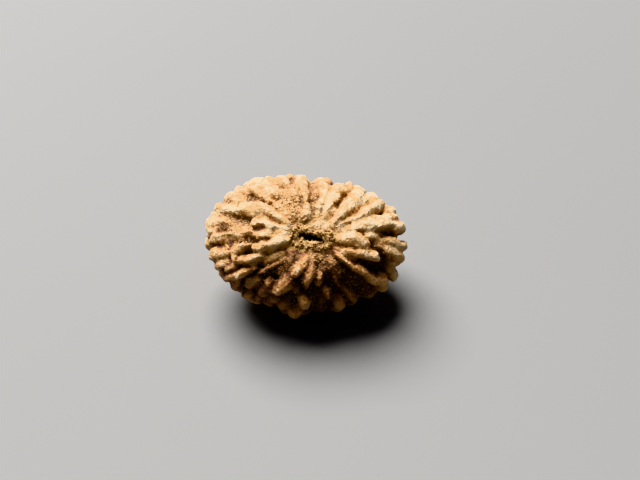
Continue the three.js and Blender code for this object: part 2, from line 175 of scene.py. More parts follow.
# The ridges round the open pole, each as its polar span, then the azimuths and the half-widths at
# even steps along that span, and how far its crest stands above the others.
OPEN_POLE_RIDGES = [
    # From the +x end round to the back: long ridges that spread from the pole and end in free tips.
    [[22, 46], [7, 6], [0.5, 0.8], -0.15],
    [[16, 84], [18, 18, 18, 16, 13], [0.4, 0.6, 0.8, 0.95, 0.85], 0.3],
    [[13, 78], [24, 24, 26, 24], [0.45, 0.75, 0.85, 0.8], 0.15],
    [[58, 82], [31, 31], [0.55, 0.6], 0.1],
    [[13, 76], [31, 35, 38, 40], [0.4, 0.65, 0.7, 0.85], 0.2],
    [[12, 70], [46, 50, 54, 56], [0.5, 1.0, 1.25, 1.3], 0.25],
    [[42, 76], [45, 47], [0.75, 1.0], 0.2],
    [[12, 70], [70, 70, 69, 69], [0.5, 0.65, 1.15, 1.25], 0.15],
    [[56, 78], [63, 64], [0.5, 0.55], 0.1],
    [[12, 68], [78, 78, 80, 81], [0.45, 0.6, 0.75, 0.75], 0.05],
    [[72, 92], [78, 77], [0.8, 0.8], -0.3],
    [[75, 94], [57, 57], [0.9, 0.95], -0.05],
    [[13, 30], [94, 95], [0.4, 0.5], -0.1],
    [[24, 78], [97, 96, 96], [0.5, 1.0, 1.1], 0.05],
    # Along the back, past the furrow, where the ground is low and granular between smooth tips.
    [[12, 26], [104, 104], [0.5, 0.6], -0.3],
    [[24, 56], [103, 105], [0.6, 0.85], -0.3],
    [[52, 83], [106, 106], [0.8, 0.9], 0],
    [[26, 64], [114, 113], [0.65, 0.85], -0.25],
    [[60, 86], [113, 113], [0.65, 0.7], 0],
    [[15, 38], [122, 123], [0.6, 0.8], -0.4],
    [[38, 92], [118, 120, 121], [0.75, 1.0, 1.1], 0.3],
    [[38, 92], [126, 127], [0.55, 0.75], 0.1],
    [[56, 92], [132, 132], [0.65, 0.75], 0.05],
    # The -x half, where the ridges are broad and run together.
    [[12, 56], [138, 141, 141], [0.5, 1.0, 0.95], 0.2],
    [[45, 92], [140, 139], [0.9, 0.95], 0.05],
    [[30, 93], [149, 150, 150, 149], [0.65, 0.65, 0.75, 0.75], 0.1],
    [[11, 38], [153, 157, 159], [0.6, 1.05, 0.7], 0.1],
    [[52, 89], [162, 162], [0.85, 0.9], -0.25],
    [[56, 89], [155, 155], [0.7, 0.75], -0.3],
    [[10, 32], [167, 170], [0.4, 0.55], 0],
    [[10, 34], [175, 175], [0.5, 0.75], 0],
    [[31, 42], [172, 171], [0.4, 0.35], -0.1],
    [[42, 89], [172, 176, 178], [0.7, 0.95, 0.75], -0.35],
    [[62, 91], [169, 170], [0.7, 0.75], -0.3],
    [[10, 34], [183, 189, 197], [0.5, 0.95, 0.6], 0.2],
    [[54, 88], [192, 190], [0.8, 0.9], 0],
    [[33, 50], [190, 194], [0.45, 0.6], 0.15],
    [[45, 51], [194, 205], [0.55, 0.55], 0.1],
    [[28, 50], [209, 203], [0.5, 0.6], 0.1],
    [[56, 88], [200, 199], [0.65, 0.75], 0],
    [[52, 70], [206, 206], [0.5, 0.55], -0.2],
    # Round the front to the +x end, where they are fingers and knobs with deep gaps between.
    [[38, 86], [216, 213, 211], [0.5, 0.65, 0.75], 0.15],
    [[62, 88], [219, 219], [0.6, 0.65], 0],
    [[20, 44], [227, 223], [0.3, 0.35], -0.25],
    [[14, 38], [238, 238], [0.7, 0.9], -0.45],
    [[44, 68], [227, 227], [0.95, 0.95], -0.35],
    [[41, 49], [235, 236], [0.5, 0.5], 0],
    [[66, 92], [231, 230], [0.7, 0.8], 0.1],
    [[50, 70], [238, 238], [0.7, 0.75], -0.35],
    [[68, 94], [238, 239], [0.6, 0.7], 0.1],
    [[58, 92], [247, 247], [0.75, 0.85], -0.35],
    [[58, 92], [255, 255], [0.75, 0.85], -0.2],
    [[12, 36], [258, 250], [0.5, 0.7], 0.05],
    [[32, 54], [249, 246], [0.85, 1.1], 0.2],
    [[12, 43], [267, 266], [0.55, 0.6], 0.05],
    [[47, 67], [266, 266], [0.7, 0.8], 0.05],
    [[62, 96], [264, 262], [0.95, 1.05], 0.3],
    [[12, 28], [283, 285], [0.6, 1.0], -0.3],
    [[26, 39], [278, 278], [0.6, 0.55], -0.05],
    [[40, 54], [281, 283], [0.65, 0.45], 0],
    [[58, 94], [278, 278], [0.75, 0.9], -0.7],
    [[14, 36], [298, 298], [0.6, 0.8], -0.4],
    [[52, 78], [290, 290], [0.55, 0.75], 0],
    [[28, 84], [290, 297, 302], [0.45, 0.5, 0.65], -0.45],
    [[60, 92], [310, 310], [0.65, 0.8], -0.8],
    [[14, 83], [320, 317, 321, 323, 320], [0.4, 0.55, 0.7, 1.0, 1.0], 0.2],
    [[18, 46], [335, 340, 338], [0.4, 0.8, 0.3], 0.2],
    [[50, 66], [342, 341], [0.5, 0.55], -0.05],
    [[58, 88], [336, 333], [0.75, 0.85], 0.05],
    [[36, 80], [353, 350, 348], [0.75, 0.95, 0.8], 0.15],
    [[34, 86], [0, 359, 359], [0.65, 0.8, 0.7], 0.15],
    [[12, 34], [1, 358, 352], [0.55, 1.1, 0.6], 0.25],
]

# Low, rough ridges in the granular ground between the others, in the same form.
LOW_RIDGES = [
    [[14, 50], [86, 86], [0.4, 0.45], -0.6],
    [[26, 54], [109, 108], [0.5, 0.6], -0.35],
    [[13, 34], [114, 116], [0.5, 0.6], -0.45],
    [[14, 36], [216, 216], [0.5, 0.6], -0.45],
    [[42, 58], [242, 242], [0.55, 0.6], -0.3],
    [[38, 50], [258, 258], [0.6, 0.6], -0.5],
    [[13, 32], [331, 326], [0.45, 0.5], -0.3],
    [[26, 60], [145, 146], [0.5, 0.6], 0.05],
    [[12, 30], [63, 63], [0.45, 0.5], -0.15],
]

# Worn hollows: polar angle, azimuth, half-length along the ridge, half-width and depth.
HOLLOWS = [
    [24, 148, 1.0, 0.42, 0.45],
    [29, 165, 0.95, 0.5, 0.5],
    [44, 157, 1.6, 0.75, 0.5],
    [59, 168, 0.9, 0.75, 0.75],
    [53, 134, 0.85, 0.55, 0.6],
    [72, 131, 0.5, 0.4, 0.6],
    [81, 125, 0.5, 0.38, 0.5],
    [31, 61, 0.7, 0.45, 0.3],
    [50, 31, 1.1, 0.3, 0.4],
    [23, 184, 0.8, 0.35, 0.3],
]

# The far side follows a rule: rows of knobs run down each face.
ROW_PITCH = 2.75
FAR_START_MIDDLE = 84
FAR_START_SWING = 11
FAR_END = 169
KNOB_SPAN_LEAST = 24
KNOB_SPAN_SPREAD = 26
KNOB_GAP = 1.5
KNOB_SHARE_LEAST = 0.42
KNOB_SHARE_SPREAD = 0.14
KNOB_LIFT_SPREAD = 0.45
KNOB_SWAY = 3
CROWDING_POWER = 0.6
START_SCATTER = 0.3
LAST_KNOB_SHARE = 0.5
KNOB_HEAD = 1.1
KNOB_TAIL_LEAST = 0.75
KNOB_TAIL_SPREAD = 0.25

# Every random draw starts from this number.
SEED_NUMBER = 1971

# How the core rises round the poles, in mm and degrees.
POLE_RISE = 1.1
POLE_RISE_WIDTH = 17.0

# Ground that stands higher between the ridges: polar angle, azimuth, reach in polar angle, reach in
# azimuth and rise in mm.
GROUND_RISES = [
    [44, 148, 34, 24, 1.1],
    [60, 133, 26, 8, 1.15],
    [40, 174, 22, 14, 1.0],
    [66, 160, 24, 16, 1.1],
    [56, 187, 30, 12, 0.85],
    [34, 50, 34, 44, 0.95],
    [40, 60, 24, 8, 1.0],
    [44, 108, 34, 24, 0.8],
    [86, 82, 16, 14, 0.4],
    [22, 270, 16, 80, 0.35],
    [60, 20, 22, 25, 0.3],
]

# Zones of the surface: polar angle, azimuth, reach in polar angle, reach in azimuth and strength.
GRITTY_ZONES = [
    [42, 158, 12, 9, 0.85],
    [52, 128, 16, 12, 0.6],
    [30, 112, 26, 18, 1.0],
    [28, 236, 18, 12, 0.8],
    [22, 284, 14, 16, 0.9],
    [30, 305, 20, 10, 0.8],
    [44, 158, 14, 8, 1.0],
    [56, 170, 12, 8, 0.6],
    [34, 62, 10, 5, 0.9],
    [34, 87, 20, 5, 0.9],
    [58, 140, 30, 16, 0.5],
    [36, 185, 8, 10, 0.7],
    [42, 345, 10, 8, 0.6],
    [54, 307, 24, 10, 0.8],
    [64, 262, 30, 30, 0.35],
]
# Painted shade, with some dried husk: these zones lie on the lower front, which faces down towards the
# floor, and darken and redden the wood there.
SHADE_AND_HUSK_ZONES = [
    [42, 280, 26, 70, 1.0],
    [40, 225, 20, 18, 0.45],
    [84, 258, 44, 58, 1.0],
    [30, 232, 14, 12, 0.8],
    [60, 306, 34, 14, 1.0],
    [84, 205, 22, 18, 0.7],
    [40, 284, 24, 20, 0.7],
    [50, 340, 18, 16, 0.55],
    [82, 220, 26, 22, 1.0],
]
STAINED_ZONES = [
    [17, 129, 9, 12, 1.0],
    [44, 310, 30, 7, 0.7],
    [40, 184, 24, 6, 0.6],
    [38, 31, 12, 5, 0.7],
]

# The wood's finish: what rubs it pale and what paints it lighter and darker, then the level at
# which each colour begins and is full. The level is wear and painted shade together: rubbed edges,
# blotches and specks raise it by wear, open high ground raises it as painted light, and shut-in
# creases, low ground and the lower front lower it as painted shade, with dried husk there too. All
# are shares, and the level runs from 0 in a crease to about 2 on a crest.
SKIN_ATTRIBUTES = ["shut", "height", "edge", "grit", "stain", "shade_and_husk", "mouth"]
EVEN_WEAR = 0.12
EDGE_WEAR = 0.28
BLOTCH_WEAR = 0.42
BLOTCH_RANGE = (0.38, 0.62)
SPECK_WEAR = 0.14
SHADE_AND_HUSK_HOLD = 0.5
WOOD_STEPS = [
    (0.32, 0.66, "furrow_colour"),
    (0.62, 1.0, "flank_colour"),
    (0.85, 1.2, "gold_colour"),
    (1.25, 1.85, "crest_colour"),
]

# How fully each layer covers the wood, and how deep the skin's small relief reads.
GRIT_COVER = 0.75
STAIN_COVER = 0.7
# The husk cover and the cast below paint shade on the lower front, darker and redder, as well as dried husk
# in its low ground.
HUSK_AND_SHADE_COVER = 0.85
PAINTED_SHADE_CAST = 0.8
TISSUE_COVER = 0.7
FLECK_COLOUR = (0.50, 0.36, 0.24, 1.0)
FLECKS_EVERYWHERE = 0.4
FLECKS_IN_GRIT = 0.45
CREASE_ROUGHNESS = 0.4
SPECK_RELIEF = 0.6
PORE_DEPTH = 0.35

# The camera, from the seed's centre: its height in degrees, then millimetres away, aside and up.
CAMERA_HEIGHT = 40.0
CAMERA_DISTANCE = 83.0
CAMERA_ASIDE = 1.8675
CAMERA_UP = 0.899
CAMERA_LENS = 33.75

# The lights: the side that the key light comes from and how wide it looks in degrees, where the fill
# lamp stands and its width in metres, and the colours of the room and of the wall that is seen.
KEY_PLACE = (-0.27, 0.34, 0.92)
KEY_WIDTH = 46
KEY_COLOUR = (1.0, 0.98, 0.94)
FILL_PLACE = (0.30, -0.90, 0.72)
FILL_WIDTH = 0.90
FILL_COLOUR = (0.96, 0.98, 1.0)
ROOM_COLOUR = (0.92, 0.95, 1.0, 1.0)
WALL_COLOUR = (0.62, 0.63, 0.65, 1.0)


def colour_property(name, description, colour):
    return bpy.props.FloatVectorProperty(
        name=name, description=description, default=colour, subtype="COLOR", size=4, min=0, max=1
    )


def length_property(name, description, length):
    return bpy.props.FloatProperty(
        name=name, description=description, default=length, unit="LENGTH"
    )


class StoneSettings(bpy.types.PropertyGroup):
    """Sizes and colours of the stone."""

    voxel_size: bpy.props.FloatProperty(
        name="Voxel size", description="Fineness of the joined stone", default=0.00014,
        min=0.00012, max=0.0005, unit="LENGTH",
    )
    triangles: bpy.props.IntProperty(
        name="Triangles", description="Most triangles in the finished stone", default=190000,
        min=20000, max=195000,
    )
    lump_height: length_property("Lump height", "Height of the soft lumps on the ridges", 0.00014)
    streak_height: length_property(
        "Streak height", "Height of the streaks that run down the ridges", 0.00012
    )
    grit_height: length_property("Grit height", "Height of the grains in the low, rough ground", 0.00026)
    pit_depth: length_property("Pit depth", "Depth of the small pits in the ridges", 0.00012)
    # The crest, gold, flank, furrow and crease colours are laid by wear and by painted shade: open, high
    # ground takes the paler ones, and the sides of the ridges and the shut-in creases take the darker ones
    # as painted shade, besides the dried husk that lies there.
    crest_colour: colour_property(
        "Crest colour", "Bare, rubbed wood on top of the ridges", (0.93, 0.73, 0.475, 1.0)
    )
    gold_colour: colour_property(
        "Gold colour", "Golden wood below the worn crests", (0.72, 0.452, 0.212, 1.0)
    )
    flank_colour: colour_property(
        "Flank colour", "Wood on the sides of the ridges", (0.42, 0.208, 0.092, 1.0)
    )
    furrow_colour: colour_property(
        "Furrow colour", "Wood at the foot of the ridges", (0.175, 0.088, 0.062, 1.0)
    )
    crease_colour: colour_property(
        "Crease colour", "Dried husk in the deepest creases", (0.050, 0.034, 0.034, 1.0)
    )
    grit_colour: colour_property("Grit colour", "Grains in the low, rough ground", (0.70, 0.49, 0.25, 1.0))
    # Painted shade: this tint darkens and reddens the lower front, which faces down towards the floor.
    painted_shade_tint: colour_property(
        "Dusk tint", "Redder cast of the wood that has stayed unworn", (0.76, 0.60, 0.53, 1.0)
    )
    stain_colour: colour_property(
        "Stain colour", "Stain left by the fruit's skin", (0.15, 0.055, 0.045, 1.0)
    )
    mouth_colour: colour_property(
        "Mouth colour", "Dry tissue round the mouth of the channel", (0.20, 0.12, 0.055, 1.0)
    )


class FibreSettings(bpy.types.PropertyGroup):
    """Sizes and colours of the fibres round the mouth."""

    count: bpy.props.IntProperty(
        name="Fibres", description="How many fibres ring the mouth", default=300, min=10, max=600,
    )
    length: length_property("Length", "Length of a fibre", 0.0009)
    thickness: length_property("Thickness", "Thickness of a fibre at its root", 0.0003)
    pale_colour: colour_property("Pale colour", "Colour of the driest fibres", (0.68, 0.45, 0.21, 1.0))
    dark_colour: colour_property("Dark colour", "Colour of the stained fibres", (0.13, 0.06, 0.027, 1.0))


class CrumbSettings(bpy.types.PropertyGroup):
    """Sizes and colours of the husk crumbs."""

    count: bpy.props.IntProperty(
        name="Crumbs", description="How many crumbs lie in the grooves", default=2600, min=10,
        max=4000,
    )
    size: length_property("Size", "Width of a crumb", 0.0002)
    pale_colour: colour_property("Pale colour", "Colour of the palest crumbs", (0.62, 0.42, 0.23, 1.0))
    dark_colour: colour_property("Dark colour", "Colour of the darkest crumbs", (0.16, 0.06, 0.026, 1.0))


class StageSettings(bpy.types.PropertyGroup):
    """The floor, the lights and the camera."""

    floor_colour: colour_property("Floor colour", "Colour of the floor", (0.135, 0.135, 0.138, 1.0))
    lamp_power: bpy.props.FloatProperty(
        name="Key light", description="Strength of the soft light from above and behind", default=10.4,
    )
    fill_power: bpy.props.FloatProperty(
        name="Fill power", description="Power of the soft lamp in front", default=0.1,
        unit="POWER",
    )
    room_light: bpy.props.FloatProperty(
        name="Room light", description="Strength of the light from all round", default=0.14,
    )


# The seed's form, on its own globe.


def along(values, share):
    """The value at a share of the way along a list of evenly spaced values."""
    return np.interp(share, np.linspace(0, 1, len(values)), values)


def unwrapped(azimuths):
    """Azimuths that pass through 0, rewritten so that they run on without a jump."""
    return [azimuth + 360 * round((azimuths[0] - azimuth) / 360) for azimuth in azimuths]


def smooth_step(share):
    share = np.clip(share, 0, 1)
    return share * share * (3 - 2 * share)


def pole_dip(polar):
    """How far the crests sink towards a pole."""
    from_pole = np.minimum(polar, 180 - polar)
    return POLE_DIP * np.exp(-((from_pole / POLE_DIP_WIDTH) ** 2))


def outwards(azimuth, polar):
    """The direction straight out of the seed at a place on its globe."""
    a, p = np.radians(azimuth), np.radians(polar)
    way = np.stack(
        np.broadcast_arrays(
            np.sin(p) * np.cos(a) / LENGTH, np.sin(p) * np.sin(a) / BREADTH, np.cos(p) / POLE_TO_POLE
        ),
        axis=-1,
    )
    return way / np.linalg.norm(way, axis=-1, keepdims=True)


def outline(azimuth):
    """How far out the plan reaches at an azimuth, as a share of the oval's radius."""
    shares = np.array(OUTLINE)
    place = (np.asarray(azimuth, float) % 360) / (360 / len(OUTLINE))
    step = np.floor(place).astype(int) % len(OUTLINE)
    blend = smooth_step(place - np.floor(place))
    return shares[step] * (1 - blend) + shares[(step + 1) % len(OUTLINE)] * blend


def place_on(azimuth, polar, depth):
    """The points at a depth in mm below the crests."""
    a, p = np.radians(azimuth), np.radians(polar)
    rim = np.sin(p) ** RIM_SHARPNESS
    reach = np.sin(p) * (1 + (outline(azimuth) - 1) * rim)
    crest = np.stack(
        np.broadcast_arrays(
            LENGTH / 2 * reach * np.cos(a), BREADTH / 2 * reach * np.sin(a), POLE_TO_POLE / 2 * np.cos(p)
        ),
        axis=-1,
    )
    return crest - outwards(azimuth, polar) * np.asarray(depth + pole_dip(polar))[..., None]


def globe_places(points):
    """The azimuth, the polar angle and the depth below the crests of points on the seed."""
    shares = points / np.array([LENGTH / 2, BREADTH / 2, POLE_TO_POLE / 2])
    azimuth = np.degrees(np.arctan2(shares[:, 1], shares[:, 0])) % 360
    polar = np.degrees(np.arctan2(np.hypot(shares[:, 0], shares[:, 1]), shares[:, 2]))
    depth = np.sum((place_on(azimuth, polar, 0.0) - points) * outwards(azimuth, polar), axis=1)
    return azimuth, polar, depth


def faces():
    """The seed's faces, each from furrow to furrow."""
    ends = FURROWS[1:] + [FURROWS[0] + 360]
    return list(zip(FURROWS, ends))


def random_run(seed):
    """A repeatable run of random numbers from 0 to 1."""
    state = seed
    while True:
        state = (state * 1664525 + 1013904223) % 4294967296
        yield state / 4294967296


def far_ridges():
    """The knobs of the far side, placed down each face."""
    run = random_run(SEED_NUMBER)
    ridges = []
    for furrow, following in faces():
        width = float(np.linalg.norm(place_on(furrow, 90, 0.0) - place_on(following, 90, 0.0)))
        rows = max(1, math.floor(width / ROW_PITCH + 0.5))
        for row in range(rows):
            azimuth = furrow + (following - furrow) * (row + 0.5) / rows
            polar = FAR_START_MIDDLE - FAR_START_SWING * math.sin(math.radians(azimuth))
            polar += next(run) * KNOB_SPAN_LEAST * START_SCATTER
            while polar < FAR_END - KNOB_SPAN_LEAST * LAST_KNOB_SHARE:
                end = min(polar + KNOB_SPAN_LEAST + KNOB_SPAN_SPREAD * next(run), FAR_END)
                crowding = math.sin(math.radians((polar + end) / 2)) ** CROWDING_POWER
                share = KNOB_SHARE_LEAST + KNOB_SHARE_SPREAD * next(run)
                half_width = width / rows * share * crowding
                sway = KNOB_SWAY * (next(run) - 0.5)
                tail = KNOB_TAIL_LEAST + KNOB_TAIL_SPREAD * next(run)
                lift = KNOB_LIFT_SPREAD * (next(run) - 0.5)
                ridges.append(
                    [
                        [polar, end],
                        [azimuth - sway, azimuth + sway],
                        [half_width * KNOB_HEAD, half_width * tail],
                        lift,
                    ]
                )
                polar = end + KNOB_GAP
    return ridges


def seed_turn():
    """How the seed is turned from its own frame to the row's."""
    lean, turn = math.radians(LEAN), math.radians(TURN)
    return np.array(Matrix.Rotation(lean, 3, "X") @ Matrix.Rotation(turn, 3, "Y"))


def lying(points):
    """Points of the seed's own frame in mm, as they lie on the floor, in metres."""
    return (points @ seed_turn().T + SEED_CENTRE) * MM


def upright(points):
    """Points in metres as the seed lies, turned back to the seed's own frame in mm."""
    return (points / MM - SEED_CENTRE) @ seed_turn()


# Small tools for meshes.


def deselect_all():
    bpy.ops.object.select_all(action="DESELECT")


def select_only(piece):
    deselect_all()
    piece.select_set(True)
    bpy.context.view_layer.objects.active = piece


def vertex_array(piece):
    points = np.empty(len(piece.data.vertices) * 3, np.float32)
    piece.data.vertices.foreach_get("co", points)
    return points.reshape(-1, 3).astype(float)


def normal_array(piece):
    normals = np.empty(len(piece.data.vertices) * 3, np.float32)
    piece.data.vertex_normals.foreach_get("vector", normals)
    return normals.reshape(-1, 3).astype(float)


def set_vertices(piece, points):
    piece.data.vertices.foreach_set("co", np.asarray(points, np.float32).ravel())
    piece.data.update()


def set_attribute(piece, name, values):
    attribute = piece.data.attributes.new(name, "FLOAT", "POINT")
    attribute.data.foreach_set("value", np.asarray(values, np.float32))


def own_copy(master, points):
    """A copy of a master piece with its own mesh, its points moved to their places."""
    piece = master.copy()
    piece.data = master.data.copy()
    bpy.context.scene.collection.objects.link(piece)
    set_vertices(piece, points)
    return piece


def join(pieces, name):
    deselect_all()
    for piece in pieces:
        piece.select_set(True)
    bpy.context.view_layer.objects.active = pieces[0]
    bpy.ops.object.join()
    joined = bpy.context.view_layer.objects.active
    joined.name = name
    joined.data.name = name
    return joined


def apply_modifier(piece, kind, **values):
    select_only(piece)
    modifier = piece.modifiers.new(kind.title(), kind)
    for name, value in values.items():
        setattr(modifier, name, value)
    bpy.ops.object.modifier_apply(modifier=modifier.name)


def edge_array(piece):
    ends = np.empty(len(piece.data.edges) * 2, np.int32)
    piece.data.edges.foreach_get("vertices", ends)
    return ends.reshape(-1, 2)


def blurred(values, ends, rounds):
    """Values on a mesh's points, each averaged with its neighbours so many times."""
    count = np.zeros(len(values))
    np.add.at(count, ends.ravel(), 1)
    values = np.array(values, float)
    for _ in range(rounds):
        total = np.zeros_like(values)
        np.add.at(total, ends[:, 0], values[ends[:, 1]])
        np.add.at(total, ends[:, 1], values[ends[:, 0]])
        mean = total / (count[:, None] if values.ndim > 1 else count)
        values = (values + mean) / 2
    return values


def keep_outer_skin(piece):
    """Removes the sealed pockets that ridges leave where they lean together."""
    ends = edge_array(piece)
    owner = np.arange(len(piece.data.vertices))
    while True:
        lowest = np.minimum(owner[ends[:, 0]], owner[ends[:, 1]])
        before = owner.copy()
        np.minimum.at(owner, ends[:, 0], lowest)
        np.minimum.at(owner, ends[:, 1], lowest)
        owner = owner[owner]
        if np.array_equal(before, owner):
            break
    names, sizes = np.unique(owner, return_counts=True)
    outer = names[np.argmax(sizes)]
    if len(names) == 1:
        return
    select_only(piece)
    piece.data.vertices.foreach_set("select", owner != outer)
    bpy.ops.object.mode_set(mode="EDIT")
    bpy.ops.mesh.select_mode(type="VERT")
    bpy.ops.object.mode_set(mode="OBJECT")
    piece.data.vertices.foreach_set("select", owner != outer)
    bpy.ops.object.mode_set(mode="EDIT")
    bpy.ops.mesh.delete(type="VERT")
    bpy.ops.object.mode_set(mode="OBJECT")


def surface_tree(piece):
    """A piece's surface, ready for rays to be cast at it."""
    return BVHTree.FromObject(piece, bpy.context.evaluated_depsgraph_get())


def even_directions(count):
    """Directions spread evenly over the half of a ball above its equator."""
    turn = math.pi * (3 - math.sqrt(5))
    ways = []
    for step in range(count):
        height = (step + 0.5) / count
        ring = math.sqrt(1 - height * height)
        ways.append((ring * math.cos(turn * step), ring * math.sin(turn * step), height))
    return ways


def closed_in(points, normals, tree, reach, rays):
    """How shut in each point is, from 0 in the open to 1 at the bottom of a crease."""
    ways = even_directions(rays)
    weights = sum(way[2] for way in ways)
    shut = np.zeros(len(points))
    for index, (point, normal) in enumerate(zip(points, normals)):
        up = Vector(normal)
        side = up.orthogonal().normalized()
        other = up.cross(side)
        start = Vector(point) + up * (reach * RAY_START)
        total = 0.0
        for x, y, z in ways:
            _, _, _, distance = tree.ray_cast(start, side * x + other * y + up * z, reach)
            if distance is not None:
                total += z * (1 - distance / reach)
        shut[index] = total / weights
    return shut


def zone_strength(zones, azimuth, polar):
    """How strongly each place belongs to a list of zones."""
    strength = np.zeros(len(azimuth))
    for zone_polar, zone_azimuth, polar_reach, azimuth_reach, most in zones:
        aside = (azimuth - zone_azimuth + 180) % 360 - 180
        spread = (aside / azimuth_reach) ** 2 + ((polar - zone_polar) / polar_reach) ** 2
        strength = np.maximum(strength, most * np.exp(-spread))
    return strength


# The stone.


def master_finger():
    """A round bead from which every ridge is shaped."""
    deselect_all()
    bpy.ops.mesh.primitive_uv_sphere_add(segments=24, ring_count=56, radius=1)
    return bpy.context.view_layer.objects.active


def ripple(form, way, start):
    """A wave of a given size and pitch along a way in mm."""
    size, pitch = form
    return size * np.sin(2 * math.pi * way / pitch + start)


def finger_points(bead, ridge, tilt):
    """A bead's points drawn out along a ridge, with blunt ends and the root sunk in the core."""
    span, azimuths, half_widths, lift = ridge
    bearings = unwrapped(azimuths)

    def centre(share):
        half_width = along(half_widths, share)
        half_height = np.maximum(LEAST_HALF_HEIGHT, half_width * HEIGHT_TO_WIDTH)
        azimuth = along(bearings, share)
        polar = span[0] + (span[1] - span[0]) * share
        point = place_on(azimuth, polar, half_height - lift)
        return point, outwards(azimuth, polar), half_width, half_height

    share = (1 - bead[:, 2]) / 2
    bluntness = np.where(share < 0.5, INNER_BLUNTNESS, END_BLUNTNESS)
    swell = np.hypot(bead[:, 0], bead[:, 1]) ** bluntness
    round_way = np.arctan2(bead[:, 1], bead[:, 0])
    sideways = np.sign(np.cos(round_way)) * np.abs(np.cos(round_way)) ** (2 / SECTION_SQUARENESS)
    upwards = np.sign(np.sin(round_way)) * np.abs(np.sin(round_way)) ** (2 / SECTION_SQUARENESS)
    point, normal, half_width, half_height = centre(share)
    ahead = centre(share + STEP_ALONG)[0] - centre(share - STEP_ALONG)[0]
    ahead /= np.linalg.norm(ahead, axis=1, keepdims=True)
    across = np.cross(ahead, normal)
    across /= np.linalg.norm(across, axis=1, keepdims=True)
    length = float(np.linalg.norm(centre(np.array([0.0]))[0] - centre(np.array([1.0]))[0]))
    knobs = 1 + ripple(SWELL, share * length, tilt[0])
    bend = ripple(BEND, share * length, tilt[1])
    rise = ripple(ROLL, share * length, tilt[2])
    height = np.where(upwards > 0, half_height, ROOT_DEPTH)
    lean = np.clip(upwards, 0, 1) * tilt[3] * CREST_LEAN
    aside = sideways * half_width * FULLNESS * swell * knobs + (bend + lean) * swell
    aloft = upwards * swell * height + rise * swell
    return point + across * aside[:, None] + normal * aloft[:, None]


def core_points(ball):
    """A ball's points laid out as the core, creased along each furrow."""
    azimuth = np.degrees(np.arctan2(ball[:, 1], ball[:, 0])) % 360
    polar = np.degrees(np.arccos(np.clip(ball[:, 2], -1, 1)))
    crease = np.zeros(len(ball))
    for furrow, following in faces():
        share = ((azimuth - furrow) % 360) / (following - furrow)
        inside = share <= 1
        near = np.minimum(share, 1 - share)
        crease = np.where(inside, np.clip(1 - near / FACE_SHOULDER, 0, 1), crease)
    depth = CREST_TO_CORE + FURROW_DEPTH * crease * np.sin(np.radians(polar))
    from_pole = np.minimum(polar, 180 - polar)
    depth -= POLE_RISE * np.exp(-((from_pole / POLE_RISE_WIDTH) ** 2))
    return place_on(azimuth, polar, depth - zone_strength(GROUND_RISES, azimuth, polar))


def channel_cutter():
    """The channel's own shape: a slit at each mouth that closes in on a round bore."""
    pole = POLE_TO_POLE / 2
    throat = pole - MOUTH_DEPTH * MOUTH_THROAT
    floor = pole - MOUTH_DEPTH
    stops = [
        (throat, 1.0, 1.0),
        (floor, BORE_RADIUS / MOUTH_HALF_LENGTH, BORE_RADIUS / MOUTH_HALF_WIDTH),
        (-floor, 1.0, 1.0),
        (-throat, MOUTH_HALF_LENGTH * FAR_MOUTH_SHARE / BORE_RADIUS, MOUTH_HALF_WIDTH / BORE_RADIUS),
        (-pole, 1.0, 1.0),
    ]
    deselect_all()
    bpy.ops.mesh.primitive_circle_add(
        vertices=24, radius=1, fill_type="NGON", location=(0, 0, pole)
    )
    cutter = bpy.context.view_layer.objects.active
    bpy.ops.object.mode_set(mode="EDIT")
    bpy.ops.transform.resize(value=(MOUTH_HALF_LENGTH, MOUTH_HALF_WIDTH, 1))
    height = pole
    for stop, longer, wider in stops:
        bpy.ops.mesh.extrude_region_move(
            TRANSFORM_OT_translate={"value": (0, 0, stop - height)}
        )
        bpy.ops.transform.resize(value=(longer, wider, 1))
        height = stop
    bpy.ops.mesh.select_all(action="SELECT")
    bpy.ops.mesh.normals_make_consistent(inside=False)
    bpy.ops.object.mode_set(mode="OBJECT")
    bpy.ops.object.transform_apply(location=True, rotation=True, scale=True)
    skew = np.array(Matrix.Rotation(math.radians(MOUTH_SKEW), 3, "Z"))
    set_vertices(cutter, vertex_array(cutter) @ skew.T)
    return cutter


def press_hollows(points, azimuth, polar, depth):
    """Presses the worn hollows in, deepest at their middles."""
    pressed = np.zeros(len(points))
    for hollow_polar, hollow_azimuth, half_length, half_width, most in HOLLOWS:
        middle = place_on(hollow_azimuth, hollow_polar, 0.0)
        onward = place_on(hollow_azimuth, hollow_polar + 1.0, 0.0) - middle
        onward /= np.linalg.norm(onward)
        normal = outwards(hollow_azimuth, hollow_polar)
        side = np.cross(normal, onward)
        offset = points - middle
        far = ((offset @ onward) / half_length) ** 2 + ((offset @ side) / half_width) ** 2
        bowl = np.clip(1 - far / HOLLOW_REACH, 0, 1) ** HOLLOW_STEEPNESS
        pressed = np.maximum(pressed, most * bowl)
    top = depth < CREST_TO_CORE + FURROW_DEPTH + HOLLOW_FLOOR
    return points - outwards(azimuth, polar) * (pressed * top)[:, None]


def warped(points):
    """Points pushed aside a little, so that no ridge runs quite straight."""
    noise.seed_set(SEED_NUMBER)
    pushed = np.empty_like(points)
    for index, point in enumerate(points):
        pushes = [noise.noise_vector(Vector(point) * scale) * push for scale, push in WARPS]
        pushed[index] = pushes[0] + pushes[1]
    return points + pushed


